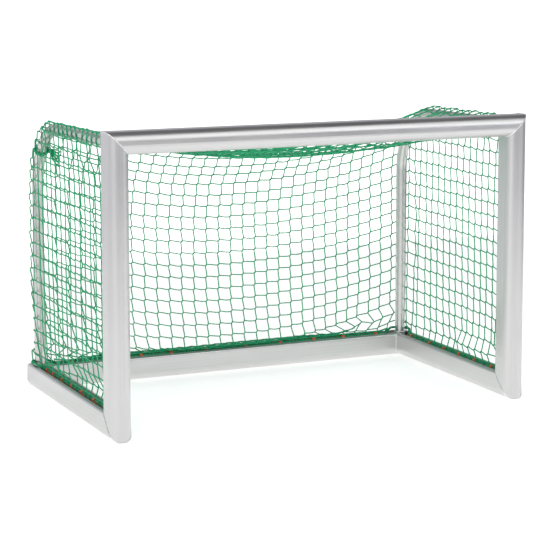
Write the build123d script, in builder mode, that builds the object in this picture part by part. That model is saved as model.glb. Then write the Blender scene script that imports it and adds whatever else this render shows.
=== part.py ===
"""A small training goal for football: a fully welded aluminium frame with a net.

One extruded section makes the crossbar, the posts and the three ground rails. Its nose is
rounded and carries a narrow flat, and its back is a wide recess with a T-slot in the floor.
The recess faces backwards on the crossbar and the posts, and upwards on the ground rails, so
it runs round the whole goal without a break and holds the net all the way.

Frame: +X to the right seen from the front, +Y to the back of the goal, +Z up. The origin is
on the floor, in the middle of the frame's footprint.
"""
import os
from math import cos, hypot, pi, radians, sin, sqrt

from build123d import *

# ---------------------------------------------------------------- driving dimensions (mm)
clear_width = 1200.0        # between the posts
clear_height = 800.0        # from the floor to the underside of the crossbar
overall_depth = 775.0       # from the front of the posts to the back of the rear rail

profile_width = 65.0        # the section, across
profile_depth = 75.0        # the section, from its nose to its lips
nose_flat = 8.0             # the rails stand on it
side_taper = 0.8            # how far each side leans in towards its lip
lip_radius = 9.0
wall = 2.5

recess_depth = 12.0
slot_width = 11.0           # T-slot in the floor of the recess
slot_floor = 3.0
chamber_width = 19.0
chamber_depth = 7.0

bracket_diameter = 35.0
bracket_wall = 2.0
bracket_bend = 200.0        # radius of the centre line
bracket_fall = 12.0         # the top run drops this much towards its bend
bracket_clearance = 1.5     # each side of a bracket's tube in the recess

weld_radius = 2.2
ring_weld_radius = 2.6
weld_floor_gap = 0.3        # the seams are ground off just above the floor

strip_clearance = 0.3
strip_flange = 3.0
strip_end_gap = 45.0        # from a corner's centre line to the end of a strip

cord_diameter = 8.0
hook_clearance = 0.3
hook_thickness = 2.7
hook_sink = 0.5             # how far a hook's ring sinks into its foot
hook_length = 9.0
hook_mouth = 5.6            # the gap in the ring that the cord is pressed through
hook_mouth_lift = 1.4       # how far the gap sits above the ring's middle
hook_foot_width = 16.0
hook_foot_thickness = 2.5
hook_foot_length = 13.0

# Hooks: their pitch, the distance from a corner's centre line to the nearest hook, and how far
# each one was pushed along the slot when the net was hung.
frame_hook_pitch = 108.0    # on the crossbar and the posts
left_hook_pitch = 87.5      # on the left ground rail
right_hook_pitch = 103.8    # on the right ground rail
rear_hook_pitch = 118.5
rail_hook_lead = 140.0      # from the foot corner to the first hook on a side rail or a post
left_hook_lead = 77.5       # at the back of the left rail
right_hook_lead = 83.5      # at the back of the right rail
rear_hook_leads = (102.5, 95.5)
left_hook_shifts = (5.5, 25, 30.5, 33, 27.5)
right_hook_shifts = (-1, -8, -15, -23)
rear_hook_shifts = (-4, -7, -24, -21, -1, 4, 7, -3)

cord_front_bend = 30.0      # at the foot of each post
cord_gap = 2.5              # between the cord and a bracket's foot
cord_corner_gap = 7.5       # between the cord and the front end of a bracket
cord_rise = 12.0            # lifts the cord over the lips where it passes a bracket
cord_ramp = 40.0            # the length of each lift near the top corners
cord_ramp_bend = 40.0
cord_ramp_gap = 8.0         # from the bend at a top corner to the lift beside it
cord_detour_lead = 60.0     # where it leaves the middle of the recess
cord_detour_bend = 22.0

net_thickness = 3.0
net_gap = 9.5               # from a bracket to the middle of the net
net_edge_gap = 1.0          # from the raised cord to the edge of a panel
net_joint_gap = 0.5         # between two panels
roof_drop = 5.0             # from the top of the crossbar to the roof's front edge
roof_crown = 2.0            # rise of the roof between its front edge and its bend
roof_sag = 125.0            # halfway between the brackets
roof_bend_steps = 6         # flat strips round the roof's bend

tie_angle = 38.5            # where the tie goes round the left bracket's bend, from the level
tie_radius = 2.5
tie_gap = 0.2

# ---------------------------------------------------------------- worked out from them
half_profile = profile_width / 2
nose_radius = half_profile - nose_flat / 2
recess_width = bracket_diameter + 2 * bracket_clearance
overall_width = clear_width + 2 * profile_width
overall_height = clear_height + profile_width
post_x = overall_width / 2 - half_profile          # middle of a post, of a side rail
bar_z = overall_height - half_profile              # middle of the crossbar
front = -overall_depth / 2                         # foremost line of the posts
rear_reach = overall_depth - half_profile          # from there to the middle of the rear rail
rear_y = front + rear_reach
recess_floor = profile_depth - recess_depth
cord_radius = cord_diameter / 2
hook_inner = cord_radius + hook_clearance
hook_outer = hook_inner + hook_thickness
cord_line = recess_floor + hook_foot_thickness + hook_outer - hook_sink    # from the nose
bracket_radius = bracket_diameter / 2
cord_detour = bracket_radius + cord_radius + cord_gap
cord_top_bend = (bracket_radius + cord_radius + cord_corner_gap) / (sqrt(2) - 1)

os.makedirs("parts", exist_ok=True)


def save(piece, label):
    """Label a finished piece and write it to its own file."""
    piece.part.label = label
    export_step(piece.part, f"parts/{label}.step")
    box = piece.part.bounding_box()
    print(f"{label}: {len(piece.part.solids())} solid(s), {piece.part.volume / 1000:.1f} cm3, "
          f"{box.size.X:.1f} x {box.size.Y:.1f} x {box.size.Z:.1f} mm")


# ---------------------------------------------------------------- where each tube lies
# Local x runs across the section, local y from its nose to its lips, local z along it.
post_planes = {side: Plane(origin=(x, front, 0), x_dir=(1, 0, 0), z_dir=(0, 0, 1))
               for side, x in (("left", -post_x), ("right", post_x))}
rail_planes = {side: Plane(origin=(x, front, 0), x_dir=(1, 0, 0), z_dir=(0, -1, 0))
               for side, x in (("left", -post_x), ("right", post_x))}
bar_plane = Plane(origin=(0, front, bar_z), x_dir=(0, 0, 1), z_dir=(-1, 0, 0))
rear_plane = Plane(origin=(0, rear_y, 0), x_dir=(0, 1, 0), z_dir=(1, 0, 0))

# The tubes meet in 45 degree mitres. Each plane's normal points into the first tube named.
outer = {"left": -1, "right": 1}
bar_mitres = {side: Plane(origin=(sign * overall_width / 2, front, overall_height),
                          z_dir=(-sign, 0, 1))
              for side, sign in outer.items()}                    # crossbar, post
foot_mitre = Plane(origin=(0, front, 0), z_dir=(0, -1, 1))        # post, side rail
rear_mitres = {side: Plane(origin=(sign * overall_width / 2, front + overall_depth, 0),
                           z_dir=(-sign, 1, 0))
               for side, sign in outer.items()}                   # rear rail, side rail


# ---------------------------------------------------------------- the extruded section
def outline(inset=0.0):
    """The outside of the section, or the same shape drawn in by a wall."""
    half = half_profile - inset
    flat = half_profile - nose_radius
    top = profile_depth - inset
    with BuildSketch() as shape:
        with BuildLine():
            Line((0, inset), (flat, inset))
            nose = CenterArc((flat, nose_radius), nose_radius - inset, -90, 90)
            side = TangentArc(nose @ 1, (half - side_taper, top), tangent=(0, 1))
            Line(side @ 1, (0, top))
            mirror(about=Plane.YZ)
        make_face()
        fillet(shape.vertices().group_by(Axis.Y)[-1].filter_by(lambda v: abs(v.X) > 1),
               lip_radius - inset)
    return shape.sketch


# The whole section: outline, recess, T-slot, and one hollow that wraps round them.
chamber_top = recess_floor - slot_floor
chamber_middle = chamber_top - chamber_depth / 2
recess_middle = profile_depth - recess_depth / 2
with BuildSketch() as hollow:
    add(outline(wall))
    with Locations((0, recess_middle)):
        Rectangle(recess_width + 2 * wall, recess_depth + 2 * wall, mode=Mode.SUBTRACT)
    with Locations((0, chamber_middle)):
        Rectangle(chamber_width + 2 * wall, chamber_depth + 2 * wall, mode=Mode.SUBTRACT)
with BuildSketch() as section:
    add(outline())
    add(hollow.sketch, mode=Mode.SUBTRACT)
    with Locations((0, recess_middle)):
        Rectangle(recess_width, recess_depth, mode=Mode.SUBTRACT)
    with Locations((0, recess_floor - slot_floor / 2)):
        Rectangle(slot_width, slot_floor, mode=Mode.SUBTRACT)
    with Locations((0, chamber_middle)):
        Rectangle(chamber_width, chamber_depth, mode=Mode.SUBTRACT)


# ---------------------------------------------------------------- crossbar
with BuildPart() as crossbar:
    with BuildSketch(bar_plane.offset(-overall_width / 2)):
        add(section.sketch)
    extrude(amount=overall_width)
    for mitre in bar_mitres.values():
        split(bisect_by=mitre, keep=Keep.TOP)
save(crossbar, "crossbar")

# ---------------------------------------------------------------- posts
posts = {}
for side in outer:
    with BuildPart() as post:
        with BuildSketch(post_planes[side]):
            add(section.sketch)
        extrude(amount=overall_height)
        split(bisect_by=bar_mitres[side], keep=Keep.BOTTOM)
        split(bisect_by=foot_mitre, keep=Keep.TOP)
    save(post, f"{side}_post")
    posts[side] = post

# ---------------------------------------------------------------- ground rails
rails = {}
for side in outer:
    with BuildPart() as rail:
        with BuildSketch(rail_planes[side].offset(-overall_depth)):
            add(section.sketch)
        extrude(amount=overall_depth)
        split(bisect_by=foot_mitre, keep=Keep.BOTTOM)
        split(bisect_by=rear_mitres[side], keep=Keep.BOTTOM)
    save(rail, f"{side}_ground_rail")
    rails[side] = rail

with BuildPart() as rear_rail:
    with BuildSketch(rear_plane.offset(-overall_width / 2)):
        add(section.sketch)
    extrude(amount=overall_width)
    for mitre in rear_mitres.values():
        split(bisect_by=mitre, keep=Keep.TOP)
save(rear_rail, "rear_ground_rail")

# ---------------------------------------------------------------- net brackets
# A bent tube that stands in the recess at each rear corner and ends in the recess behind the
# top corner. Its top run falls slightly towards the bend.
bracket_corner = bar_z - bracket_fall
bracket_slope = bracket_fall / (rear_reach - recess_floor)
front_end = Plane(origin=(0, front + recess_floor, 0), z_dir=(0, 1, 0))


def bracket_path(x):
    """The centre line of a bracket, run on a little past its front end."""
    overrun = 20.0
    with BuildLine() as path:
        FilletPolyline((x, rear_y, recess_floor),
                       (x, rear_y, bracket_corner),
                       (x, front + recess_floor - overrun, bar_z + bracket_slope * overrun),
                       radius=bracket_bend)
    return path.line


brackets = {}
for side, sign in outer.items():
    with BuildPart() as bracket:
        with BuildLine():
            add(bracket_path(sign * post_x))
        with BuildSketch(Plane(origin=(sign * post_x, rear_y, recess_floor))):
            Circle(bracket_radius)
            Circle(bracket_radius - bracket_wall, mode=Mode.SUBTRACT)
        sweep()
        split(bisect_by=front_end, keep=Keep.TOP)
    save(bracket, f"{side}_net_bracket")
    brackets[side] = bracket


# ---------------------------------------------------------------- weld seams
def seam_edges(tube, mitre, run_plane):
    """The edges round a mitre, from lip to lip and past the nose, without the recess."""
    cut = tube.part.faces().filter_by(
        lambda face: abs(face.normal_at().dot(mitre.z_dir)) > 0.999
        and abs((face.center() - mitre.origin).dot(mitre.z_dir)) < 0.1)[0]

    def outside(edge):
        local = run_plane.to_local_coords(edge.center())
        return abs(local.X) > recess_width / 2 + 0.1 or local.Y < nose_radius

    return cut.outer_wire().edges().filter_by(outside)


def seam(tube, other, mitre, run_plane):
    """A bead laid along a mitre, outside both tubes and clear of the floor."""
    with BuildPart() as bead:
        with BuildLine() as path:
            add(seam_edges(tube, mitre, run_plane))
        start = path.wires()[0]
        with BuildSketch(Plane(origin=start @ 0, z_dir=start % 0)):
            Circle(weld_radius)
        sweep(path=start)
        add(tube.part, mode=Mode.SUBTRACT)
        add(other.part, mode=Mode.SUBTRACT)
        split(bisect_by=Plane.XY.offset(weld_floor_gap), keep=Keep.TOP)
    return bead


for side in outer:
    save(seam(crossbar, posts[side], bar_mitres[side], bar_plane), f"{side}_top_corner_weld")
    save(seam(posts[side], rails[side], foot_mitre, post_planes[side]), f"{side}_foot_weld")
    save(seam(rails[side], rear_rail, rear_mitres[side], rail_planes[side]),
         f"{side}_rear_corner_weld")

for side, sign in outer.items():
    with BuildPart() as rings:
        with Locations(Plane(origin=(sign * post_x, rear_y, profile_depth)),
                       Plane(origin=(sign * post_x, front + profile_depth, bar_z), z_dir=(0, 1, 0))):
            Torus(bracket_radius + ring_weld_radius / 2, ring_weld_radius)
        add(brackets[side].part, mode=Mode.SUBTRACT)
        for tube in (crossbar, posts[side], rails[side], rear_rail):
            add(tube.part, mode=Mode.SUBTRACT)
    save(rings, f"{side}_bracket_welds")


# ---------------------------------------------------------------- strips in the T-slots
def strip(plane, start, end):
    """A plastic strip that fills the T-slot between two places along a tube."""
    flange_top = chamber_top - strip_clearance
    with BuildPart() as piece:
        with BuildSketch(plane.offset(start)):
            with Locations((0, flange_top - strip_flange / 2)):
                Rectangle(chamber_width - 2 * strip_clearance, strip_flange)
            with Locations((0, (flange_top + recess_floor) / 2)):
                Rectangle(slot_width - 2 * strip_clearance, recess_floor - flange_top)
        extrude(amount=end - start)
    return piece


bar_half = post_x - strip_end_gap
save(strip(bar_plane, -bar_half, bar_half), "crossbar_net_strip")
for side in outer:
    save(strip(post_planes[side], profile_depth + strip_end_gap, bar_z - strip_end_gap),
         f"{side}_post_net_strip")
    save(strip(rail_planes[side], strip_end_gap - rear_reach, -profile_depth - strip_end_gap),
         f"{side}_rail_net_strip")
save(strip(rear_plane, -bar_half, bar_half), "rear_rail_net_strip")


# ---------------------------------------------------------------- net hooks
def hooks(plane, places):
    """C-shaped hooks on the floor of a recess, one solid each, open towards local +x."""
    with BuildPart() as group:
        for place in places:
            with BuildSketch(plane.offset(place - hook_length / 2)):
                with Locations((0, cord_line)):
                    Circle(hook_outer)
                    Circle(hook_inner, mode=Mode.SUBTRACT)
                with Locations((hook_outer, cord_line + hook_mouth_lift)):
                    Rectangle(2 * hook_outer, hook_mouth, mode=Mode.SUBTRACT)
            extrude(amount=hook_length)
            with BuildSketch(plane.offset(place - hook_foot_length / 2)):
                with Locations((0, recess_floor + hook_foot_thickness / 2)):
                    Rectangle(hook_foot_width, hook_foot_thickness)
            extrude(amount=hook_foot_length)
    return group


def spread(start, end, pitch, shifts=(0,)):
    """Places between two ends, about a pitch apart. All but the first and the last are moved,
    each by its own shift."""
    gaps = max(1, round((end - start) / pitch))
    between = [start + (end - start) * index / gaps + shifts[(index - 1) % len(shifts)]
               for index in range(1, gaps)]
    return [start, *between, end]


ramp_top = cord_top_bend + cord_ramp_gap
ramp_foot = ramp_top + cord_ramp
hook_end = ramp_foot + hook_length
bar_places = spread(hook_end - post_x, post_x - hook_end, frame_hook_pitch)
post_places = spread(rail_hook_lead, bar_z - hook_end, frame_hook_pitch)
rail_places = {
    "left": spread(rail_hook_lead, rear_reach - left_hook_lead, left_hook_pitch, left_hook_shifts),
    "right": spread(rail_hook_lead, rear_reach - right_hook_lead, right_hook_pitch,
                    right_hook_shifts)}
rear_places = spread(rear_hook_leads[0] - post_x, post_x - rear_hook_leads[1], rear_hook_pitch,
                     rear_hook_shifts)
save(hooks(bar_plane, bar_places), "crossbar_net_hooks")
for side in outer:
    save(hooks(post_planes[side], post_places), f"{side}_post_net_hooks")
    save(hooks(rail_planes[side], [-reach for reach in rail_places[side]]),
         f"{side}_rail_net_hooks")
save(hooks(rear_plane, rear_places), "rear_rail_net_hooks")


# ---------------------------------------------------------------- border cord
def cord_route(sign):
    """Half of the cord: out along the crossbar, down the post, back along the rail, round
    behind the bracket's foot and in along the rear rail. It is lifted over the lips where it
    passes an end of the bracket."""
    x = sign * post_x
    out = sign * cord_detour
    lead = sign * cord_detour_lead
    raised = cord_line + cord_rise
    points = [(0, front + cord_line, bar_z),
              (x - sign * ramp_foot, front + cord_line, bar_z),
              (x - sign * ramp_top, front + raised, bar_z),
              (x, front + raised, bar_z),
              (x, front + raised, bar_z - ramp_top),
              (x, front + cord_line, bar_z - ramp_foot),
              (x, front + cord_line, cord_line),
              (x, rear_y - cord_detour_lead, cord_line),
              (x + out, rear_y - cord_detour, raised),
              (x + out, rear_y + cord_detour, raised),
              (x - out, rear_y + cord_detour, raised),
              (x - lead, rear_y, cord_line),
              (0, rear_y, cord_line)]
    bends = [cord_ramp_bend, cord_ramp_bend, cord_top_bend, cord_ramp_bend, cord_ramp_bend,
             cord_front_bend, 2 * cord_detour_bend, cord_detour_bend, cord_detour_bend,
             cord_detour_bend, 2 * cord_detour_bend]
    return points, bends


cord_length = 0.0
with BuildPart() as border_cord:
    for sign in outer.values():
        route, bends = cord_route(sign)
        with BuildLine() as cord_path:
            FilletPolyline(*route, radius=bends)
        with BuildSketch(Plane(origin=cord_path.line @ 0, z_dir=cord_path.line % 0)):
            Circle(cord_radius)
        sweep(path=cord_path.wires()[0])
        cord_length += sum(edge.length for edge in cord_path.edges())
cord_section = pi * cord_radius ** 2
print(f"border cord: {cord_length:.0f} mm long, volume over section times length "
      f"{border_cord.part.volume / (cord_section * cord_length):.4f}, bends {bends}")
save(border_cord, "border_cord")

# ---------------------------------------------------------------- net panels
# Each panel is a plain closed sheet of the net's outer shape, outside the brackets.
net_offset = bracket_radius + net_gap       # from a bracket's centre line
net_x = post_x + net_offset
net_y = rear_y + net_offset
net_low = cord_line + cord_rise + cord_radius + net_edge_gap
net_front = front + net_low
net_half = net_thickness / 2
bend_y = rear_y - bracket_bend
bend_z = bracket_corner + bracket_slope * bracket_bend - bracket_bend * hypot(1, bracket_slope)
net_bend = bracket_bend + net_offset
roof_front_z = overall_height - roof_drop
roof_angles = [90 - 90 * step / roof_bend_steps for step in range(roof_bend_steps + 1)]
roof_chord = net_bend * cos(pi / 4 / roof_bend_steps)

with BuildPart() as net_back:
    with BuildSketch(Plane.XY.offset(net_low)):
        with Locations((0, net_y)):
            Rectangle(2 * (net_x - net_half - net_joint_gap), net_thickness)
    extrude(amount=bend_z - net_joint_gap - net_low)
save(net_back, "net_back")

side_bend = roof_chord - net_half - net_joint_gap
side_top = roof_front_z - net_half - net_joint_gap
for side, sign in outer.items():
    with BuildPart() as net_side:
        with BuildSketch(Plane.YZ.offset(sign * net_x - net_half)):
            with BuildLine():
                Line((net_front, net_low), (bend_y + side_bend, net_low))
                Line((bend_y + side_bend, net_low), (bend_y + side_bend, bend_z))
                CenterArc((bend_y, bend_z), side_bend, 0, 90)
                Line((bend_y, bend_z + side_bend),
                     (net_front, side_top))
                Line((net_front, side_top), (net_front, net_low))
            make_face()
        extrude(amount=net_thickness)
    save(net_side, f"net_{side}_side")


roof_edge = post_x - net_offset             # the roof starts to sag inside the brackets
roof_across = (0.55, 0.82, 1.0)             # shares of that, where a section is taken
roof_run = ((0.30, 0.8), (0.62, 1.0), (0.90, 0.9))      # share of the run, share of the sag
roof_turn_sag = 0.85                        # share of the sag where the bend begins


def roof_section(x):
    """The roof and the bend behind it at one place across: a thin closed band."""
    sag = roof_sag * max(0.0, 1 - (x / roof_edge) ** 4)
    fall = bend_z + net_bend - roof_front_z
    knots = [(net_front, roof_front_z, 90, 0.0)]
    for share, weight in roof_run:
        knots.append((net_front + share * (bend_y - net_front),
                      roof_front_z + share * fall + roof_crown * sin(pi * share), 90, weight))
    for angle in roof_angles:
        weight = roof_turn_sag * sin(radians(angle)) ** 1.5
        knots.append((bend_y + net_bend * cos(radians(angle)),
                      bend_z + net_bend * sin(radians(angle)), angle, weight))

    def edge(offset):
        return [(y + (offset - sag * weight) * cos(radians(angle)),
                 z + (offset - sag * weight) * sin(radians(angle)))
                for y, z, angle, weight in knots]

    return edge(net_half) + edge(-net_half)[::-1]


roof_half = [0.0] + [share * roof_edge for share in roof_across] + [net_x + net_half]
roof_places = [-place for place in roof_half[:0:-1]] + roof_half
with BuildPart() as net_roof:
    for near, far in zip(roof_places, roof_places[1:]):
        for place in (near, far):
            with BuildSketch(Plane.YZ.offset(place)):
                with BuildLine():
                    Polyline(*roof_section(place), close=True)
                make_face()
        loft(ruled=True)
save(net_roof, "net_roof")

# ---------------------------------------------------------------- tie on the left bracket
tie_turn = (0, cos(radians(tie_angle)), sin(radians(tie_angle)))
with BuildPart() as tie:
    with Locations(Plane(origin=(-post_x, bend_y + bracket_bend * tie_turn[1],
                                 bend_z + bracket_bend * tie_turn[2]),
                         x_dir=(1, 0, 0), z_dir=(0, -tie_turn[2], tie_turn[1]))):
        Torus(bracket_radius + tie_radius + tie_gap, tie_radius)
save(tie, "left_bracket_tie")
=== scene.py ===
# %% [markdown]
# # A small training goal
# The goal is a welded aluminium frame with a net. The metal pieces come ready from the CAD frame
# and only need a finish. The weld beads, the cord, the tie and the net are built here, because
# they are the pieces whose looks come from fine detail.

# %% Load the frame
from math import atan2, cos, hypot, pi, radians, sin, sqrt, tan

import bpy
import numpy as np
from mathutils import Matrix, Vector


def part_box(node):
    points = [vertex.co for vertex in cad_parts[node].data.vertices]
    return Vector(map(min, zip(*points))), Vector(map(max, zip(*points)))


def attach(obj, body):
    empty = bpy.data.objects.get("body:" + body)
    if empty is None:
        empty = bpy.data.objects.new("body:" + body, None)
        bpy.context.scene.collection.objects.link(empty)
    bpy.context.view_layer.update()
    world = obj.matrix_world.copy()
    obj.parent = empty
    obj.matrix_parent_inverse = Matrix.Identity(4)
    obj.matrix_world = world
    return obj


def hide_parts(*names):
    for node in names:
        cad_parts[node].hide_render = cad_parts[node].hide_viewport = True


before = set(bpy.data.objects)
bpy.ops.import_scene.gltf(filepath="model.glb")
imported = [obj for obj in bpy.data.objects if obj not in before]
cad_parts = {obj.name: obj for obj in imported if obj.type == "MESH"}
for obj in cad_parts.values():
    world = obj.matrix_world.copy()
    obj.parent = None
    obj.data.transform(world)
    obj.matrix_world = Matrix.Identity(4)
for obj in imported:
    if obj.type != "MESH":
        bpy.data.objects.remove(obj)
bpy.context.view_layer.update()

print("CAD nodes:", len(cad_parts))

# %% [markdown]
# Every place in this file is worked out from the boxes of the CAD nodes, so that the new pieces
# sit where the frame says. The bend of the brackets is the one size that a box does not show.

# %% Measure the frame
post_low, post_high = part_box("left_post")
bar_low, bar_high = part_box("crossbar")
rear_low, rear_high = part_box("rear_ground_rail")
tube_low, tube_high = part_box("left_net_bracket")

half_profile = (post_high[0] - post_low[0]) / 2
post_x = -(post_low[0] + post_high[0]) / 2
front = post_low[1]
profile_depth = post_high[1] - front
half_width = bar_high[0]
top = bar_high[2]
bar_z = (bar_low[2] + bar_high[2]) / 2
rear_y = (rear_low[1] + rear_high[1]) / 2
back = rear_high[1]
tube_radius = (tube_high[0] - tube_low[0]) / 2

bracket_bend = 0.200
bracket_fall = 0.012
recess_floor = profile_depth - 0.012
cord_line = profile_depth - 0.003       # how far the border cord runs from a tube's nose
bracket_slope = bracket_fall / (rear_y - front - recess_floor)
bend_y = rear_y - bracket_bend
bend_z = (bar_z - bracket_fall + bracket_slope * bracket_bend
          - bracket_bend * hypot(1, bracket_slope))
print(f"post at x {post_x:.4f}, crossbar at z {bar_z:.4f}, rear rail at y {rear_y:.4f}, "
      f"bend centre y {bend_y:.4f} z {bend_z:.4f}")

# %% [markdown]
# ## Small helpers for materials
# Colours are written as sRGB hex, as a paint chart gives them, and Blender wants linear light, so
# one function converts them. Another adds a node, sets its values and links its inputs, which
# keeps each material down to a few lines.

# %% Colour and nodes
def paint(code):
    """An sRGB hex colour as linear RGBA."""
    shares = [int(code[i:i + 2], 16) / 255 for i in (1, 3, 5)]
    linear = [s / 12.92 if s <= 0.04045 else ((s + 0.055) / 1.055) ** 2.4 for s in shares]
    return (*linear, 1.0)


def add(tree, kind, inputs=None, **settings):
    """Adds a node. An input's value may be a number, a colour or another node's output."""
    node = tree.nodes.new(kind)
    for name, value in settings.items():
        setattr(node, name, value)
    for name, value in (inputs or {}).items():
        if isinstance(value, bpy.types.NodeSocket):
            tree.links.new(value, node.inputs[name])
        else:
            node.inputs[name].default_value = value
    return node


def finish_of(name):
    """A new material and its tree, emptied."""
    material = bpy.data.materials.new(name)
    material.use_nodes = True
    material.node_tree.nodes.clear()
    return material, material.node_tree


def close(tree, shader):
    add(tree, "ShaderNodeOutputMaterial", {"Surface": shader.outputs[0]})


print("aluminium in linear light:", [round(c, 3) for c in paint("#D6D8DB")[:3]])

# %% [markdown]
# ## Extruded aluminium, satin mill finish
# The profile is pressed through a die, so its surface has long faint lines along the tube and
# almost none across. To the eye that is a soft metal with highlights that run the whole length.
# Noise that is stretched along the tube gives the lines. Die lines are about 0.3 mm apart, too
# fine to show from 6 m, so they are drawn 2.5 mm apart.

# %% Aluminium extrusions
DIE_LINE = 0.0025           # spacing across the tube, in metres
DIE_RUN = 0.9               # how long one line stays the same


def extruded_aluminium(name, along):
    """along is 0, 1 or 2: the axis that the tube runs along."""
    material, tree = finish_of(name)
    scale = [1 / DIE_LINE] * 3
    scale[along] = 1 / DIE_RUN
    place = add(tree, "ShaderNodeTexCoord").outputs["Object"]
    stretched = add(tree, "ShaderNodeMapping", {"Vector": place, "Scale": scale})
    lines = add(tree, "ShaderNodeTexNoise", {"Vector": stretched.outputs[0], "Scale": 1.0,
                                             "Detail": 3.0, "Roughness": 0.6})
    cloud = add(tree, "ShaderNodeTexNoise", {"Vector": place, "Scale": 6.0, "Detail": 3.0})
    tint = add(tree, "ShaderNodeValToRGB", {"Fac": lines.outputs["Fac"]})
    tint.color_ramp.elements[0].position = 0.30
    tint.color_ramp.elements[0].color = paint("#CFCECD")
    tint.color_ramp.elements[1].position = 0.70
    tint.color_ramp.elements[1].color = paint("#DAD9D8")
    rough = add(tree, "ShaderNodeMapRange", {"Value": cloud.outputs["Fac"], "From Min": 0.3,
                                             "From Max": 0.7, "To Min": 0.30, "To Max": 0.38})
    bump = add(tree, "ShaderNodeBump", {"Height": lines.outputs["Fac"], "Strength": 0.05,
                                        "Distance": 0.0004})
    metal = add(tree, "ShaderNodeBsdfPrincipled",
                {"Base Color": tint.outputs["Color"], "Metallic": 1.0,
                 "Roughness": rough.outputs["Result"], "Normal": bump.outputs["Normal"]})
    close(tree, metal)
    return material


extrusions = [extruded_aluminium(f"extruded_aluminium_{axis}", index)
              for index, axis in enumerate("xyz")]
print("extrusion finishes:", [m.name for m in extrusions])

# %% [markdown]
# ## Drawn tube, weld metal and plastics
# The brackets are drawn tube, a little smoother than the profile. Weld metal is bright where it
# froze and dull beside it. The hooks are moulded polypropylene, which is slightly shiny and lets
# its edges look paler. The strip in the slot is soft extruded rubber; its dull red-brown is
# painted shade, darker than the strip itself, for the shade that falls in the recess.

# %% Other hard finishes
def plain_finish(name, dark, light, grain, roughness, metallic=0.0, bump_mm=0.1):
    """A finish with a fine grain between two close colours. grain is its size in metres."""
    material, tree = finish_of(name)
    place = add(tree, "ShaderNodeTexCoord").outputs["Object"]
    speckle = add(tree, "ShaderNodeTexNoise", {"Vector": place, "Scale": 1 / grain,
                                               "Detail": 4.0})
    tint = add(tree, "ShaderNodeValToRGB", {"Fac": speckle.outputs["Fac"]})
    tint.color_ramp.elements[0].position = 0.35
    tint.color_ramp.elements[0].color = paint(dark)
    tint.color_ramp.elements[1].position = 0.65
    tint.color_ramp.elements[1].color = paint(light)
    rough = add(tree, "ShaderNodeMapRange", {"Value": speckle.outputs["Fac"],
                                             "To Min": roughness - 0.06,
                                             "To Max": roughness + 0.06})
    bump = add(tree, "ShaderNodeBump", {"Height": speckle.outputs["Fac"], "Strength": 0.3,
                                        "Distance": bump_mm / 1000})
    surface = add(tree, "ShaderNodeBsdfPrincipled",
                  {"Base Color": tint.outputs["Color"], "Metallic": metallic,
                   "Roughness": rough.outputs["Result"], "Normal": bump.outputs["Normal"]})
    close(tree, surface)
    return material


drawn_tube = plain_finish("drawn_aluminium_tube", "#CFCECC", "#DAD9D7", 0.012, 0.30, 1.0, 0.02)
weld_metal = plain_finish("aluminium_weld_metal", "#E0E0DE", "#FAFAF8", 0.004, 0.34, 1.0, 0.2)
hook_plastic = plain_finish("moulded_polypropylene_orange", "#D9501F", "#EE6E3A", 0.003, 0.42)
# The strip's dull red-brown is painted shade: darker than the strip itself, for the shade in the
# recess.
slot_strip_painted_shade = plain_finish("extruded_rubber_strip_painted_shade", "#6B4F48", "#84685F", 0.004, 0.55)

node_finish = {
    "crossbar": extrusions[0], "rear_ground_rail": extrusions[0],
    "left_ground_rail": extrusions[1], "right_ground_rail": extrusions[1],
    "left_post": extrusions[2], "right_post": extrusions[2],
    "left_net_bracket": drawn_tube, "right_net_bracket": drawn_tube,
}
for name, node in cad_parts.items():
    if name.endswith("_hooks"):
        node_finish[name] = hook_plastic
    if name.endswith("_strip"):
        node_finish[name] = slot_strip_painted_shade
for name, material in node_finish.items():
    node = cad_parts[name]
    for index in range(max(1, len(node.material_slots))):
        if node.material_slots:
            node.material_slots[index].material = material
        else:
            node.data.materials.append(material)
print("CAD nodes that keep their shape:", len(node_finish))

# %% [markdown]
# ## Twine
# Goal nets are knotless: polypropylene twine is braided by machine, and where two twines cross
# their yarns change over. The yarn is smooth and a little shiny. The braid shows as slanting
# ridges. Each strand mesh carries an attribute that says how far along and round the twine a
# point is, so the ridges follow the twine wherever it goes. A real ridge is about 1.5 mm long; it
# is drawn 5 mm long, or it would not show.

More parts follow.
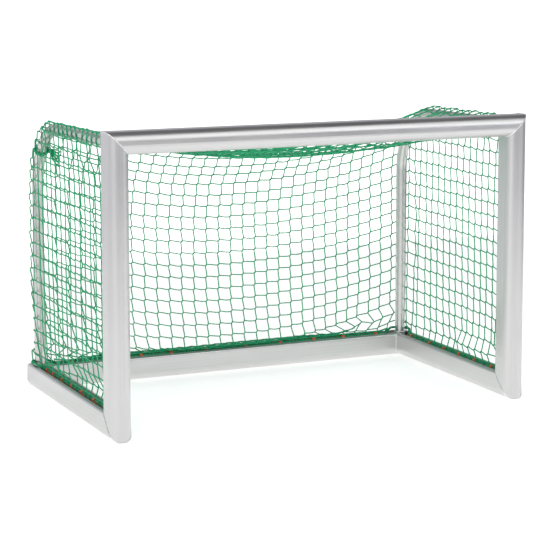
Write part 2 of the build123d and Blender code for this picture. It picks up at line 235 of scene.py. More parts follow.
# %% Braided polypropylene
def braid(name, dark, light, ridge, roughness):
    """Braided yarn. ridge is the distance between two ridges along the twine, in metres."""
    material, tree = finish_of(name)
    where = add(tree, "ShaderNodeAttribute", attribute_name="twine")
    split = add(tree, "ShaderNodeSeparateXYZ", {"Vector": where.outputs["Vector"]})
    along = add(tree, "ShaderNodeMath", {0: split.outputs["Y"], 1: 2 * pi / ridge},
                operation="MULTIPLY")
    around = add(tree, "ShaderNodeMath", {0: split.outputs["X"], 1: 2 * pi},
                 operation="MULTIPLY")
    waves = []
    for operation in ("ADD", "SUBTRACT"):
        phase = add(tree, "ShaderNodeMath", {0: along.outputs[0], 1: around.outputs[0]},
                    operation=operation)
        waves.append(add(tree, "ShaderNodeMath", {0: phase.outputs[0]}, operation="SINE"))
    ridges = add(tree, "ShaderNodeMath", {0: waves[0].outputs[0], 1: waves[1].outputs[0]},
                 operation="MAXIMUM")
    # Painted shade: the colour is darker in the grooves between the ridges than on their crests.
    shade = add(tree, "ShaderNodeMapRange", {"Value": ridges.outputs[0], "From Min": -0.6,
                                             "From Max": 1.0})
    varied = add(tree, "ShaderNodeMath", {0: shade.outputs["Result"], 1: split.outputs["Z"]},
                 operation="MULTIPLY")
    tint = add(tree, "ShaderNodeValToRGB", {"Fac": varied.outputs[0]})
    tint.color_ramp.elements[0].color = paint(dark)
    tint.color_ramp.elements[1].color = paint(light)
    bump = add(tree, "ShaderNodeBump", {"Height": ridges.outputs[0], "Strength": 0.5,
                                        "Distance": 0.0005})
    yarn = add(tree, "ShaderNodeBsdfPrincipled",
               {"Base Color": tint.outputs["Color"], "Roughness": roughness, "IOR": 1.49,
                "Sheen Weight": 0.05, "Normal": bump.outputs["Normal"]})
    close(tree, yarn)
    return material


net_yarn = braid("braided_polypropylene_net", "#008A56", "#08B87C", 0.005, 0.50)
cord_yarn = braid("laid_polypropylene_cord", "#017A4A", "#10A870", 0.012, 0.50)
print("twine finishes:", net_yarn.name, cord_yarn.name)

# %% [markdown]
# ## Strands and beads as tubes
# Twine, cord and weld beads are all a round section carried along a line. The frame at each point
# is turned as little as possible from the one before, so that the section does not twist. All
# strands of a piece go into one mesh, with closed ends.

# %% A tube along a line
def turned_frames(line):
    """Two unit vectors across the line at each point, with the least turning."""
    step = np.gradient(line, axis=0)
    tangent = step / np.linalg.norm(step, axis=1)[:, None]
    first = np.eye(3)[np.argmin(np.abs(tangent[0]))]
    across = [first - tangent[0] * first.dot(tangent[0])]
    across[0] /= np.linalg.norm(across[0])
    for index in range(1, len(line)):
        moved = across[-1] - tangent[index] * across[-1].dot(tangent[index])
        across.append(moved / np.linalg.norm(moved))
    across = np.array(across)
    return across, np.cross(tangent, across)


def tube_mesh(name, lines, radius, sides, material, section=None):
    """One object with a closed tube along each line. section(angle, along) scales the radius."""
    angle = np.arange(sides) * 2 * pi / sides
    points, faces, twine, count = [], [], [], 0
    for number, line in enumerate(lines):
        line = np.asarray(line, float)
        a, b = turned_frames(line)
        steps = np.linalg.norm(np.diff(line, axis=0), axis=1)
        along = np.concatenate([[0.0], np.cumsum(steps)])
        width = np.full((len(line), sides), radius)
        if section:
            width = radius * section(angle[None, :], along[:, None])
        ring = (line[:, None, :] + width[:, :, None]
                * (np.cos(angle)[None, :, None] * a[:, None, :]
                   + np.sin(angle)[None, :, None] * b[:, None, :]))
        points.append(ring.reshape(-1, 3))
        tone = 0.92 + 0.08 * sin(number * 2.4)
        mark = np.stack(np.broadcast_arrays(angle[None, :] / (2 * pi), along[:, None], tone), -1)
        twine.append(mark.reshape(-1, 3))
        row = np.arange(len(line) - 1)[:, None] * sides
        now = row + np.arange(sides)[None, :]
        after = row + (np.arange(sides)[None, :] + 1) % sides
        quads = np.stack([now, after, after + sides, now + sides], -1).reshape(-1, 4) + count
        faces.extend(quads.tolist())
        faces.append([count + i for i in range(sides - 1, -1, -1)])
        faces.append([count + (len(line) - 1) * sides + i for i in range(sides)])
        count += len(line) * sides
    mesh = bpy.data.meshes.new(name)
    mesh.from_pydata(np.concatenate(points).tolist(), [], faces)
    mark = mesh.attributes.new("twine", "FLOAT_VECTOR", "POINT")
    mark.data.foreach_set("vector", np.concatenate(twine).ravel())
    mesh.polygons.foreach_set("use_smooth", [True] * len(mesh.polygons))
    mesh.materials.append(material)
    piece = bpy.data.objects.new(name, mesh)
    bpy.context.scene.collection.objects.link(piece)
    triangles = sum(len(face) - 2 for face in faces)
    print(f"{name}: {len(lines)} lines, {triangles} triangles")
    return piece


def place(piece, slot, *nodes):
    """Lets a piece ride on the frame and stand for its CAD nodes. slot is not used."""
    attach(piece, "root")
    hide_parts(*nodes)


# %% [markdown]
# ## Weld beads
# A TIG bead freezes one droplet after another, so it is a row of overlapping scales, each about
# 2 mm long, and it stands proud of both tubes. A smooth torus would look like a rubber ring. The
# bead's line is the outline of the section, seen in each mitre, and its radius swells and drops
# along the line in step with the scales.

# %% The outline of the section
NOSE_FLAT = 0.004           # half the flat on the nose
LIP_RADIUS = 0.009
RECESS_HALF = 0.019
SIDE_TAPER = 0.0008


def section_outline(step):
    """Points (across, from the nose) from one lip round the nose to the other lip."""
    nose = half_profile - NOSE_FLAT
    lip = half_profile - SIDE_TAPER
    half = [(0.0, 0.0)]
    half += [(NOSE_FLAT + nose * sin(t), nose - nose * cos(t)) for t in np.linspace(0, pi / 2, 30)]
    centre = (lip - LIP_RADIUS, profile_depth - LIP_RADIUS)
    half += [(centre[0] + LIP_RADIUS * cos(t), centre[1] + LIP_RADIUS * sin(t))
             for t in np.linspace(0, pi / 2, 12)]
    half.append((RECESS_HALF, profile_depth))
    whole = np.array([(-x, y) for x, y in half[:0:-1]] + half)
    return evenly(whole, step)


def evenly(line, step):
    """The same line with points about a step apart."""
    line = np.asarray(line, float)
    gaps = np.linalg.norm(np.diff(line, axis=0), axis=1)
    keep = np.concatenate([[True], gaps > 1e-7])
    line = line[keep]
    along = np.concatenate([[0.0], np.cumsum(np.linalg.norm(np.diff(line, axis=0), axis=1))])
    places = np.linspace(0, along[-1], max(2, round(along[-1] / step) + 1))
    return np.stack([np.interp(places, along, line[:, k]) for k in range(line.shape[1])], -1)


outline = section_outline(0.0005)
print(f"outline of the section: {len(outline)} points, "
      f"{np.linalg.norm(np.diff(outline, axis=0), axis=1).sum() * 1000:.0f} mm from lip to lip")

# %% Beads along the mitres
BEAD_RADIUS = 0.0018
RING_BEAD_RADIUS = 0.0026
SCALE_PITCH = 0.0030        # real scales are 2 mm long, drawn longer so that they show


def weld_scales(angle, along):
    """A bead's radius: each droplet rises and then drops to the next one."""
    phase = (along / SCALE_PITCH + 0.35 * np.cos(angle)) % 1.0
    slow = 1 + 0.06 * np.sin(along * 420) + 0.05 * np.sin(along * 173 + 1.0)
    return slow * (0.80 + 0.22 * np.sin(pi * phase) ** 0.7)


def mitre_line(kind, sign):
    """The outline of the section where two tubes meet at 45 degrees."""
    s, t = outline[:, 0], outline[:, 1]
    q = s + half_profile
    if kind == "top_corner":
        return np.stack([sign * (half_width - q), front + t, top - q], -1)
    if kind == "foot":
        return np.stack([sign * post_x + s, front + t, t], -1)
    return np.stack([sign * (half_width - q), back - q, t], -1)


FLOOR_GAP = 0.0003          # the beads are ground flush just above the floor
for side, sign in (("left", -1), ("right", 1)):
    for kind in ("top_corner", "foot", "rear_corner"):
        node = f"{side}_{kind}_weld"
        bead = tube_mesh(f"{side}_{kind}_bead", [mitre_line(kind, sign)], BEAD_RADIUS, 12,
                         weld_metal, weld_scales)
        for vertex in bead.data.vertices:
            vertex.co.z = max(vertex.co.z, FLOOR_GAP)
        place(bead, "weld_bead", node)
    turn = np.linspace(0, 2 * pi, 240)
    reach = tube_radius + RING_BEAD_RADIUS / 2
    flat = np.full_like(turn, sign * post_x)
    foot_ring = np.stack([flat + reach * np.cos(turn), rear_y + reach * np.sin(turn),
                          np.full_like(turn, profile_depth)], -1)
    top_ring = np.stack([flat + reach * np.cos(turn), np.full_like(turn, front + profile_depth),
                         bar_z + reach * np.sin(turn)], -1)
    rings = tube_mesh(f"{side}_bracket_beads", [foot_ring, top_ring], RING_BEAD_RADIUS, 12,
                      weld_metal, weld_scales)
    place(rings, "weld_bead", f"{side}_bracket_welds")

# %% [markdown]
# ## The border cord
# The cord is laid rope of three strands, pressed into the hooks all round the goal. Its line is
# straight along the tubes and rounded at the corners, and it climbs over the lips to get past the
# ends of the brackets. Three lobes that turn along the line look like three strands and need only
# one tube.

# %% The cord's line
CORD_RADIUS = 0.004
CORD_RISE = 0.012
TOP_BEND = (tube_radius + CORD_RADIUS + 0.0075) / (sqrt(2) - 1)
RAMP_TOP = TOP_BEND + 0.008
RAMP_FOOT = RAMP_TOP + 0.040
DETOUR = tube_radius + CORD_RADIUS + 0.0025
DETOUR_LEAD = 0.060


def rounded(points, radii):
    """A line through the points with each corner turned into an arc."""
    points = [np.array(p, float) for p in points]
    line = [points[0]]
    for before, corner, after, radius in zip(points, points[1:], points[2:], radii):
        u = (before - corner) / np.linalg.norm(before - corner)
        v = (after - corner) / np.linalg.norm(after - corner)
        half = np.arccos(np.clip(u.dot(v), -1, 1)) / 2
        middle = (u + v) / np.linalg.norm(u + v)
        centre = corner + middle * radius / sin(half)
        start = corner + u * radius / tan(half) - centre
        end = corner + v * radius / tan(half) - centre
        sweep = pi - 2 * half
        for share in np.linspace(0, 1, 14):
            line.append(centre + (sin((1 - share) * sweep) * start + sin(share * sweep) * end)
                        / sin(sweep))
    line.append(points[-1])
    return np.array(line)


def cord_half(sign):
    """Half of the border cord, from the middle of the crossbar to that of the rear rail."""
    x = sign * post_x
    out = sign * DETOUR
    low = front + cord_line
    high = low + CORD_RISE
    lifted = cord_line + CORD_RISE
    points = [(0, low, bar_z), (x - sign * RAMP_FOOT, low, bar_z),
              (x - sign * RAMP_TOP, high, bar_z), (x, high, bar_z),
              (x, high, bar_z - RAMP_TOP), (x, low, bar_z - RAMP_FOOT),
              (x, low, cord_line), (x, rear_y - DETOUR_LEAD, cord_line),
              (x + out, rear_y - DETOUR, lifted), (x + out, rear_y + DETOUR, lifted),
              (x - out, rear_y + DETOUR, lifted), (x - sign * DETOUR_LEAD, rear_y, cord_line),
              (0, rear_y, cord_line)]
    radii = [0.040, 0.040, TOP_BEND, 0.040, 0.040, 0.030, 0.044, 0.022, 0.022, 0.022, 0.044]
    return rounded(points, radii)


LAY = 0.045                 # one full turn of the three strands


def laid_rope(angle, along):
    """Three lobes that turn with the lay."""
    return 0.80 + 0.20 * np.abs(np.cos(1.5 * (angle - 2 * pi * along / LAY)))


left_half, right_half = cord_half(-1), cord_half(1)
cord_path = evenly(np.concatenate([left_half, right_half[::-1][1:]]), 0.003)
border_cord = tube_mesh("net_border_cord", [cord_path], CORD_RADIUS, 15, cord_yarn, laid_rope)
place(border_cord, "cord", "border_cord")
print(f"border cord: {np.linalg.norm(np.diff(cord_path, axis=0), axis=1).sum():.3f} m")

# %% [markdown]
# ## How the net hangs
# The net is a grid of bars about 40 mm long. Its slack falls where gravity takes it, so it is
# worked out rather than drawn: the junctions are weights, the bars are strings that can't
# stretch, the hem is fixed to the cord, and the brackets push outwards. The weights start near
# their final place and are let go for a few hundred small steps. Nothing in it is random.

# %% The grid of junctions
TWINE_RADIUS = 0.0019
REST = tube_radius + 2 * TWINE_RADIUS       # from a bracket's centre line to the twine

ROOF_RUN_IN = 0.028         # from the crossbar to where the roof lies on the brackets
HEM_RUN_IN = 0.030          # from the rear rail's lips to where the net meets the brackets
profile = [(front + cord_line, bar_z),
           (front + profile_depth + ROOF_RUN_IN, bar_z + REST - 0.001)]
profile += [(bend_y + (bracket_bend + REST) * cos(t), bend_z + (bracket_bend + REST) * sin(t))
            for t in np.linspace(pi / 2, 0, 40)]
profile += [(rear_y + REST, profile_depth + HEM_RUN_IN), (rear_y + 0.002, cord_line + 0.004)]
PROFILE_STEP = 0.001
profile = evenly(profile, PROFILE_STEP)
profile_length = PROFILE_STEP * (len(profile) - 1)
ACROSS = 31                 # bars from one side to the other
DOWN = 36                   # bars from the crossbar to the rear rail
ACROSS_BAR = 0.0426         # the roof's sag is the slack of a row
DOWN_SLACK = 1.015
DOWN_BAR = DOWN_SLACK * profile_length / DOWN
print(f"from the crossbar over the bend to the rear rail: {profile_length:.3f} m, {DOWN} bars")


def roof_weight(share):
    """How much of the sag a place has, from the crossbar (0) to the rear rail (1)."""
    return np.interp(share, [0, 0.08, 0.25, 0.42, 0.50, 0.60, 1], [0, 0.5, 1.0, 0.8, 0.45, 0.1, 0])


START_SAG = 0.10            # the roof's sag before the net is let go
START_WIDTH = post_x + 0.75 * REST
spots, index_of = [], {}


def junction(key, spot):
    index_of[key] = len(spots)
    spots.append(spot)


for u in range(ACROSS + 1):
    across = 2 * u / ACROSS - 1
    for v in range(DOWN + 1):
        y, z = profile[round(v / DOWN * (len(profile) - 1))]
        x = across * START_WIDTH
        sag = START_SAG * (1 - across ** 4) * roof_weight(v / DOWN)
        junction(("main", u, v), (x, y, z - sag))

SIDE_ALONG = 17             # bars from a post to the back
SIDE_UP = 20                # bars from a side rail to the roof
side_start = front + cord_line
side_step = (rear_y + REST - side_start) / SIDE_ALONG
rise_step = (bar_z + REST - cord_line) / SIDE_UP
SIDE_SLACK = 1.008          # the side panels are nearly taut
LEAST_BAR = 0.4             # of a bar: a side junction nearer to the bend than this is left out


def inside_profile(y, z):
    """How far a place on a side panel is inside the bracket's outer line."""
    if y > bend_y and z > bend_z:
        return bracket_bend + REST - hypot(y - bend_y, z - bend_z)
    return min(rear_y + REST - y, bar_z + REST - bracket_slope * (y - side_start) - z)


for side, sign in (("left", -1), ("right", 1)):
    for a in range(SIDE_ALONG):
        for b in range(SIDE_UP):
            y, z = side_start + a * side_step, cord_line + b * rise_step
            if inside_profile(y, z) > LEAST_BAR * rise_step:
                junction((side, a, b), (sign * (post_x + REST), y, z))
print("junctions:", len(spots))

# %% The bars between them
places = np.array(spots)
bars = []
edge_nodes = {side: [index_of[("main", u, v)] for v in range(DOWN + 1)]
              for side, u in (("left", 0), ("right", ACROSS))}
sewn = {"left": [], "right": []}
SEWN_SLACK = 1.02
SHORTEST_SEWN = 0.6         # a share of a side panel's bar
for key, here in index_of.items():
    panel, i, j = key
    for step_i, step_j in ((1, 0), (0, 1)):
        there = index_of.get((panel, i + step_i, j + step_j))
        if there is not None:
            if panel == "main":
                bars.append((here, there, ACROSS_BAR if step_i else DOWN_BAR))
            else:
                bars.append((here, there, SIDE_SLACK * (side_step if step_i else rise_step)))
        elif panel != "main":
            # The last bar of a row or column is sewn to the nearest junction of the bend.
            spot = places[here] + np.array([0, step_i * side_step, step_j * rise_step])
            gaps = np.linalg.norm(places[edge_nodes[panel]] - spot, axis=1)
            other = edge_nodes[panel][int(np.argmin(gaps))]
            length = max(SHORTEST_SEWN * rise_step,
                         np.linalg.norm(places[other] - places[here]))
            bars.append((here, other, SEWN_SLACK * length))
            sewn[panel].append((here, other, step_i))
ends = np.array([(a, b) for a, b, _ in bars])
rest = np.array([length for _, _, length in bars])
UNEVEN = 0.006              # hand-hung nets aren't even
rest *= 1 + UNEVEN * np.sin(np.arange(len(rest)) * 12.9898)
print("bars:", len(bars))

# %% The hem on the cord and the edges on the brackets
def unit(vector):
    return vector / max(np.linalg.norm(vector), 1e-9)


def on_cord(spot):
    """The nearest place on the border cord."""
    return cord_path[np.argmin(np.linalg.norm(cord_path - spot, axis=1))]


pinned = {}
for u in range(ACROSS + 1):
    x = (2 * u / ACROSS - 1) * post_x
    pinned[index_of[("main", u, 0)]] = on_cord(np.array([x, front + cord_line, bar_z]))
    pinned[index_of[("main", u, DOWN)]] = on_cord(np.array([x, rear_y, cord_line]))
for side, sign in (("left", -1), ("right", 1)):
    for a in range(SIDE_ALONG):
        y = side_start + a * (rear_y - side_start) / SIDE_ALONG
        pinned[index_of[(side, a, 0)]] = on_cord(np.array([sign * post_x, y, cord_line]))
    for b in range(SIDE_UP):
        if (side, 0, b) in index_of:
            z = cord_line + b * (bar_z - cord_line) / SIDE_UP
            pinned[index_of[(side, 0, b)]] = on_cord(np.array([sign * post_x, side_start, z]))
ON_TUBE = radians(55)       # the edge of the roof lies this far round the bracket's outside
STAND_OFF = 0.006           # the edge is gathered, so it stands a little off the tube
HELD_ABOVE = 0.30           # lower down the net only leans on the brackets
held_by_tube = []
for u, sign in ((0, -1), (ACROSS, 1)):
    for v in range(1, DOWN):
        y, z = profile[round(v / DOWN * (len(profile) - 1))]
        if z > HELD_ABOVE:
            wave = 0.002 * (1 + sin(2.1 * v + sign)) + STAND_OFF
            out = unit(np.array([0.0, y - bend_y, z - bend_z]) * [0, y > bend_y, z > bend_z])
            spot = np.array([sign * (post_x + (REST + wave) * cos(ON_TUBE)), y, z])
            spot -= out * (REST - (REST + wave) * sin(ON_TUBE))
            pinned[index_of[("main", u, v)]] = spot
            held_by_tube.append(index_of[("main", u, v)])
fixed = np.array(sorted(pinned))
places[fixed] = [pinned[i] for i in fixed]
print("junctions held by the cord:", len(fixed))

# %% Let it hang
def coloured(pairs):
    """Splits the bars into sets in which no two share a junction, so a set moves at once."""
    used, sets = {}, []
    for number, (a, b) in enumerate(pairs):
        colour = 0
        while colour in used.setdefault(int(a), set()) or colour in used.setdefault(int(b), set()):
            colour += 1
        used[int(a)].add(colour)
        used[int(b)].add(colour)
        while len(sets) <= colour:
            sets.append([])
        sets[colour].append(number)
    return [np.array(s) for s in sets]


def push_off_brackets(spot, clearance):
    """Moves places that are too near a bracket's tube straight out of it."""
    y, z = spot[:, 1], spot[:, 2]
    on_top = y <= bend_y
    on_bend = (y > bend_y) & (z > bend_z)
    side = np.where(spot[:, 0] < 0, -post_x, post_x)
    turn = np.arctan2(z - bend_z, y - bend_y)
    centre = np.stack([side, np.where(on_bend, bend_y + bracket_bend * np.cos(turn), rear_y),
                       np.where(on_bend, bend_z + bracket_bend * np.sin(turn), z)], -1)
    centre[on_top, 1] = y[on_top]
    centre[on_top, 2] = (bend_z + bracket_bend + bracket_slope * (bend_y - y[on_top]))
    away = spot - centre
    gap = np.linalg.norm(away, axis=1)
    near = gap < clearance
    spot[near] = centre[near] + away[near] / gap[near, None] * clearance
    return spot


GRAVITY = 9.81
TIME_STEP = 0.002
STEPS = 400
PASSES = 24
DRAG = 0.93                 # how much of its speed a junction keeps from step to step
PUSH_BACK = 0.35            # how much of a push a bar of twine stands up to
LIPS = profile_depth + 2 * TWINE_RADIUS     # the net does not pass through the rails
groups = coloured(ends)
free = np.ones(len(places))
free[fixed] = 0
moved = places.copy()
for step in range(STEPS):
    drift = 0.0 * moved if step == 0 else (moved - before_last) * DRAG
    before_last = moved.copy()
    moved = moved + drift * free[:, None]
    moved[:, 2] -= GRAVITY * TIME_STEP ** 2 * free
    for sweep in range(PASSES):
        for group in groups:
            a, b = ends[group, 0], ends[group, 1]
            line = moved[b] - moved[a]
            length = np.linalg.norm(line, axis=1)
            error = length - rest[group]
            # A bar can't stretch, but it gives way when it is pushed, being only twine.
            stiffness = np.where(error > 0, 1.0, PUSH_BACK)
            weight = np.maximum(free[a] + free[b], 1e-9)
            shift = line / length[:, None] * (stiffness * error / weight)[:, None]
            moved[a] += shift * free[a][:, None]
            moved[b] -= shift * free[b][:, None]
        moved = push_off_brackets(moved, REST)
        moved[:, 2] = np.maximum(moved[:, 2], LIPS)
        moved[fixed] = places[fixed]
stretch = np.linalg.norm(moved[ends[:, 1]] - moved[ends[:, 0]], axis=1) / rest
middle = moved[index_of[("main", ACROSS // 2, DOWN // 4)]]
loose = (free[ends[:, 0]] + free[ends[:, 1]]) > 0
stretch = stretch[loose]
print(f"bars are {stretch.min():.2f} to {stretch.max():.2f} of their length; "
      f"middle of the roof at z {middle[2]:.3f}; last step {abs(moved - before_last).max():.5f} m")

# %% [markdown]
# ## The twine of the net
# In a knotless net two twines run side by side for about a centimetre at each junction, on the
# slant, and then part. So each row and each column is one strand that enters a junction at one
# end of the slant and leaves at the other. Strands are smoothed through their points, and a bar
# with slack hangs down a little in the middle. The hem is threaded on the border cord, with one
# loop of twine at each junction and a doubled selvedge beside the hooks.

# %% Strands through the junctions
SLANT = 0.0030              # half the length of a junction
SIDE_BY_SIDE = 0.0011       # how far each twine lies off the middle of a junction
MOST_SAG = 0.0030           # of one bar, in its middle


def smooth(points, parts=2):
    """A Catmull-Rom curve through the points."""
    p = np.concatenate([[2 * points[0] - points[1]], points, [2 * points[-1] - points[-2]]])
    curve = []
    for k in range(1, len(p) - 2):
        for part in range(parts):
            t = part / parts
            curve.append(0.5 * (2 * p[k] + (p[k + 1] - p[k - 1]) * t
                                + (2 * p[k - 1] - 5 * p[k] + 4 * p[k + 1] - p[k + 2]) * t ** 2
                                + (3 * p[k] - p[k - 1] - 3 * p[k + 1] + p[k + 2]) * t ** 3))
    curve.append(p[-2])
    return np.array(curve)


def slant_at(key):
    """The direction of the slant at a junction, and the net's normal there."""
    panel, i, j = key

    def spot(a, b):
        return moved[index_of.get((panel, a, b), index_of[key])]

    rightward = unit(spot(i + 1, j) - spot(i - 1, j))
    upward = unit(spot(i, j - 1) - spot(i, j + 1))
    if panel != "main":
        rightward, upward = -rightward, -upward
    return unit(rightward + upward), unit(np.cross(rightward, upward))


def strand(keys, shift, bar):
    """One twine through a row or column of junctions. shift is the side it lies on."""
    points = []
    for number, key in enumerate(keys):
        centre = moved[index_of[key]]
        if index_of[key] in pinned and index_of[key] not in held_by_tube:
            stop = [centre.copy()]
        else:
            slant, normal = slant_at(key)
            if number + 1 < len(keys):
                ahead = moved[index_of[keys[number + 1]]] - centre
            else:
                ahead = centre - last
            order = SLANT if ahead.dot(slant) >= 0 else -SLANT
            off = normal * shift * SIDE_BY_SIDE
            stop = [centre - order * slant + off, centre + order * slant + off]
        if points:
            line = centre - last
            slack = max(0.0, bar - np.linalg.norm(line))
            drop = min(MOST_SAG, sqrt(0.375 * bar * slack)) * hypot(line[0], line[1]) / bar
            points.append((points[-1] + stop[0]) / 2 - np.array([0, 0, drop]))
        points += stop
        last = centre
    return points


def row_keys(panel, j):
    return [key for key in sorted(index_of) if key[0] == panel and key[2] == j]


def column_keys(panel, i):
    return [key for key in sorted(index_of) if key[0] == panel and key[1] == i]


def cleared(points):
    """Lifts the points of a strand off the brackets and smooths it."""
    line = push_off_brackets(np.array(points), tube_radius + TWINE_RADIUS)
    line = push_off_brackets(smooth(line), tube_radius + TWINE_RADIUS)
    line[:, 2] = np.maximum(line[:, 2], cord_line - CORD_RADIUS)
    return line


# %% Loops round the cord
LOOP_RADIUS = CORD_RADIUS + 0.6 * TWINE_RADIUS


def hem_loop(spot):
    """A twine once round the cord, where the net's edge is threaded on it."""
    near = int(np.argmin(np.linalg.norm(cord_path - spot, axis=1)))
    run = unit(cord_path[min(near + 2, len(cord_path) - 1)] - cord_path[max(near - 2, 0)])
    a = unit(np.cross(run, [0.3, 0.5, 0.81]))
    b = np.cross(run, a)
    turns = np.linspace(0, 2 * pi * 1.02, 11)
    return np.array([spot + LOOP_RADIUS * (cos(t) * a + sin(t) * b) + run * 0.0015 * (t / pi - 1)
                     for t in turns])


# %% The four panels
SPLIT = round(DOWN * 0.60)  # the row of junctions where the back panel begins
END_REACH = 1.5 * SLANT     # how far a strand's end lies from its last junction at most
main_rows = {v: strand([("main", u, v) for u in range(ACROSS + 1)], 1, ACROSS_BAR)
             for v in range(1, DOWN)}
panels = {"roof": [], "back": [], "left": [], "right": []}
for v in range(1, DOWN):
    panels["roof" if v <= SPLIT else "back"].append(cleared(main_rows[v]))
for u in range(ACROSS + 1):
    upper = [("main", u, v) for v in range(SPLIT + 1)]
    lower = [("main", u, v) for v in range(SPLIT, DOWN + 1)]
    panels["roof"].append(cleared(strand(upper, -1, DOWN_BAR)))
    panels["back"].append(cleared(strand(lower, -1, DOWN_BAR)))
for side in ("left", "right"):
    for b in range(1, SIDE_UP):
        panels[side].append(strand(row_keys(side, b), 1, side_step))
    for a in range(1, SIDE_ALONG):
        panels[side].append(strand(column_keys(side, a), -1, rise_step))
    rows, columns = panels[side][:SIDE_UP - 1], panels[side][SIDE_UP - 1:]
    for here, other, level in sewn[side]:
        # The strand that ends at this junction goes on to the bend.
        for line in rows if level == 1 else columns:
            if np.linalg.norm(line[-1] - moved[here]) < END_REACH:
                line.append((line[-1] + moved[other]) / 2)
                line.append(moved[other])
                break
    panels[side] = [cleared(line) for line in panels[side] if len(line) > 1]
for number in sorted(set(fixed) - set(held_by_tube)):
    key = [k for k, n in index_of.items() if n == number][0]
    name = key[0] if key[0] != "main" else ("roof" if key[2] == 0 else "back")
    panels[name].append(hem_loop(moved[number]))

# %% The selvedge
SELVEDGE = 0.0090           # from the middle of the cord, which is just outside the hooks
SELVEDGE_HALF = 1.2 * TWINE_RADIUS      # half the distance between its two twines
UP, BACKWARD = np.array([0.0, 0.0, 1.0]), np.array([0.0, 1.0, 0.0])
hems = {"roof": ([("main", u, 0) for u in range(1, ACROSS)], BACKWARD),
        "back": ([("main", u, DOWN) for u in range(1, ACROSS)], UP)}
for name, (keys, out) in hems.items():
    across = np.cross(out, [1.0, 0.0, 0.0])
    for shift in (-1, 1):
        line = [moved[index_of[k]] + out * SELVEDGE + across * shift * SELVEDGE_HALF
                for k in keys]
        panels[name].append(smooth(np.array(line), 3))
for side in ("left", "right"):
    for keys, out in (([(side, a, 0) for a in range(1, SIDE_ALONG)], UP),
                      ([(side, 0, b) for b in range(1, SIDE_UP) if (side, 0, b) in index_of],
                       BACKWARD)):
        for shift in (-1, 1):
            line = [moved[index_of[k]] + out * SELVEDGE
                    + np.array([shift * SELVEDGE_HALF, 0, 0]) for k in keys]
            panels[side].append(smooth(np.array(line), 3))

# %% The sizes that the panels are cut to
side_flat = (SIDE_ALONG * side_step * SIDE_SLACK, SIDE_UP * rise_step * SIDE_SLACK)
flats = {"roof": (ACROSS * ACROSS_BAR, SPLIT * DOWN_BAR),
         "back": (ACROSS * ACROSS_BAR, (DOWN - SPLIT) * DOWN_BAR),
         "left": side_flat, "right": side_flat}
nodes = {"roof": "net_roof", "back": "net_back", "left": "net_left_side",
         "right": "net_right_side"}
for name, lines in panels.items():
    panel = tube_mesh(f"netting_{name}", lines, TWINE_RADIUS, 6, net_yarn)
    place(panel, "netting", nodes[name])
    width, length = flats[name]
    print(f"{name}: {width:.3f} x {length:.3f} m of netting")

# %% [markdown]
# ## The tie on the left bracket
# A short cord is wound twice round the bracket and knotted, to keep the net from sliding down the
# bend. The turns are a helix round the tube, the knot is a small closed loop, and the loops of a
# bow and one tail hang from it.

# %% Tie
TIE_RADIUS = 0.0022
TIE_ANGLE = radians(38.5)
tie_out = np.array([0.0, cos(TIE_ANGLE), sin(TIE_ANGLE)])
tie_across = np.array([1.0, 0.0, 0.0])
tie_run = np.cross(tie_across, tie_out)
tie_centre = np.array([-post_x, bend_y, bend_z]) + bracket_bend * tie_out
tie_reach = tube_radius + TIE_RADIUS + 0.0003
TIE_TURNS = 2.35
TIE_PITCH = 2.3 * TIE_RADIUS
turns = np.linspace(0, TIE_TURNS * 2 * pi, 90)
winding = np.array([tie_centre + tie_reach * (cos(t) * tie_across + sin(t) * tie_out)
                    + tie_run * (t / (2 * pi) - 1.2) * TIE_PITCH for t in turns])
knot_centre = tie_centre + (tie_reach + 2 * TIE_RADIUS) * tie_across
knot = np.array([knot_centre + 0.0050 * (sin(t) + 1.1 * sin(2 * t)) * tie_run * 0.8
                 + 0.0050 * (cos(t) - 1.1 * cos(2 * t)) * tie_out * 0.8
                 + 0.0030 * sin(3 * t) * tie_across for t in np.linspace(0, 2 * pi, 60)])
LOOP_REACH = np.array([0.014, -0.030, -0.034])      # how far the loops of the bow hang
LOOP_SPREAD = np.array([0.001, -0.012, 0.008])       # from one loop to the next
LOOPS = 4
LOOP_HALF = np.array([0.0, 0.006, -0.004])          # from a loop's middle line to its side
TAIL_END = np.array([0.018, -0.044, -0.050])
TAIL_SAG = 0.010
tails = []
for number in range(LOOPS):
    hang = LOOP_REACH * (1 - 0.08 * number) + LOOP_SPREAD * number
    loop = [knot_centre, knot_centre + 0.4 * hang + LOOP_HALF,
            knot_centre + 0.8 * hang + LOOP_HALF, knot_centre + hang,
            knot_centre + 0.8 * hang - LOOP_HALF, knot_centre + 0.4 * hang - LOOP_HALF,
            knot_centre]
    tails.append(smooth(np.array(loop), 5))
tails.append(smooth(np.array([knot_centre + share * TAIL_END - [0, 0, TAIL_SAG * sin(pi * share)]
                              for share in (0.0, 0.3, 0.6, 1.0)]), 6))
tie = tube_mesh("bracket_tie_cord", [winding, knot, *tails], TIE_RADIUS, 8, cord_yarn)
place(tie, "tie", "left_bracket_tie")

# %% [markdown]
# ## Studio
# The goal stands on a pale floor that curves up into a backdrop. A big soft box lights it from the
# front left, a weaker one from the right, and one hangs in front and above. Metal shows what it
# reflects, so the room is bright on one side and dim on the other, which gives the tubes their
# darker bands.

# %% Floor and backdrop
def stage_sheet(name, points, width, material):
    """A sheet swept along a line in the YZ plane."""
    mesh = bpy.data.meshes.new(name)
    rows = [[(-width, y, z), (width, y, z)] for y, z in points]
    faces = [(2 * k, 2 * k + 1, 2 * k + 3, 2 * k + 2) for k in range(len(points) - 1)]
    mesh.from_pydata([p for row in rows for p in row], [], faces)
    mesh.polygons.foreach_set("use_smooth", [True] * len(mesh.polygons))
    mesh.materials.append(material)
    sheet = bpy.data.objects.new(name, mesh)
    bpy.context.scene.collection.objects.link(sheet)
    return sheet


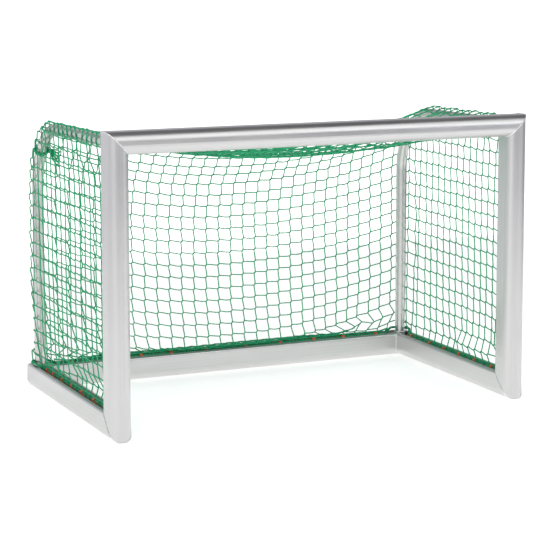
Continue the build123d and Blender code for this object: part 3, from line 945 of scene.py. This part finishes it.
def backdrop_paper(name, glow):
    """White paper that is lit from behind a little, so that it renders evenly white."""
    material, tree = finish_of(name)
    white = add(tree, "ShaderNodeBsdfPrincipled",
                {"Base Color": paint("#F4F4F4"), "Roughness": 0.9, "Specular IOR Level": 0.1,
                 "Emission Color": paint("#FFFFFF"), "Emission Strength": glow})
    close(tree, white)
    return material


stage_sheet("studio_floor", [(-4.0, 0.0), (2.5, 0.0)], 3.5,
            backdrop_paper("white_floor_paper", 0.50))
sweep = [(-14.0, -0.001), (5.0, -0.001)]
sweep += [(5.0 + 3.0 * sin(t), 3.0 - 3.0 * cos(t)) for t in np.linspace(0.1, pi / 2, 16)]
sweep += [(8.0, 9.0)]
backdrop = stage_sheet("studio_backdrop", sweep, 16.0,
                       backdrop_paper("white_backdrop_paper", 0.85))
backdrop.visible_glossy = False         # the tubes reflect the room beyond the near floor instead


# %% Lights
def soft_box(name, place_at, look_at, size, power, colour="#FFFFFF"):
    """A rectangular light that faces a point."""
    light = bpy.data.lights.new(name, "AREA")
    light.shape = "RECTANGLE"
    light.size, light.size_y = size
    light.energy = power
    light.color = paint(colour)[:3]
    lamp = bpy.data.objects.new(name, light)
    lamp.location = place_at
    x, y, z = (look_at[i] - place_at[i] for i in range(3))
    lamp.rotation_euler = (pi / 2 + atan2(z, hypot(x, y)), 0, atan2(y, x) - pi / 2)
    bpy.context.scene.collection.objects.link(lamp)


soft_box("key_left", (-4.5, -4.5, 3.2), (0, 0, 0.4), (3.0, 2.2), 95)
soft_box("fill_right", (4.6, -3.6, 2.2), (0, 0, 0.4), (2.4, 2.4), 40, "#EEF3FF")
soft_box("top", (0.8, -3.4, 3.6), (0, 0, 0.4), (5.5, 3.6), 78)
world = bpy.data.worlds.new("studio_air")
bpy.context.scene.world = world
world.use_nodes = True
air = world.node_tree
air.nodes.clear()
# The room is bright on the left and behind, dim in front on the right and overhead.
look = add(air, "ShaderNodeTexCoord").outputs["Generated"]
leftward = add(air, "ShaderNodeVectorMath", {0: look, 1: (-0.7, 0.7, 0.0)},
               operation="DOT_PRODUCT")
level = add(air, "ShaderNodeMapRange", {"Value": leftward.outputs["Value"], "From Min": -1.0,
                                        "From Max": 1.0, "To Min": 0.42, "To Max": 1.10})
upward = add(air, "ShaderNodeSeparateXYZ", {"Vector": look})
overhead = add(air, "ShaderNodeMapRange", {"Value": upward.outputs["Z"], "From Min": 0.20,
                                           "From Max": 0.75, "To Min": 1.0, "To Max": 0.25})
brightness = add(air, "ShaderNodeMath", {0: level.outputs["Result"],
                                         1: overhead.outputs["Result"]}, operation="MULTIPLY")
sky = add(air, "ShaderNodeBackground", {"Color": paint("#E2E3E8"),
                                        "Strength": brightness.outputs[0]})
add(air, "ShaderNodeOutputWorld", {"Surface": sky.outputs[0]})
bpy.context.scene.view_settings.view_transform = "Standard"

# %% Camera
camera_data = bpy.data.cameras.new("camera")
camera_data.lens = 127.713
camera_data.sensor_width = 36.0
camera_data.shift_y = -0.1491
camera_data.clip_end = 100.0
camera = bpy.data.objects.new("camera", camera_data)
camera.location = (-2.4334, -5.3589, 1.3857)
camera.rotation_euler = (radians(90 - 7.4154), 0, radians(-24.4804))
bpy.context.scene.collection.objects.link(camera)
bpy.context.scene.camera = camera
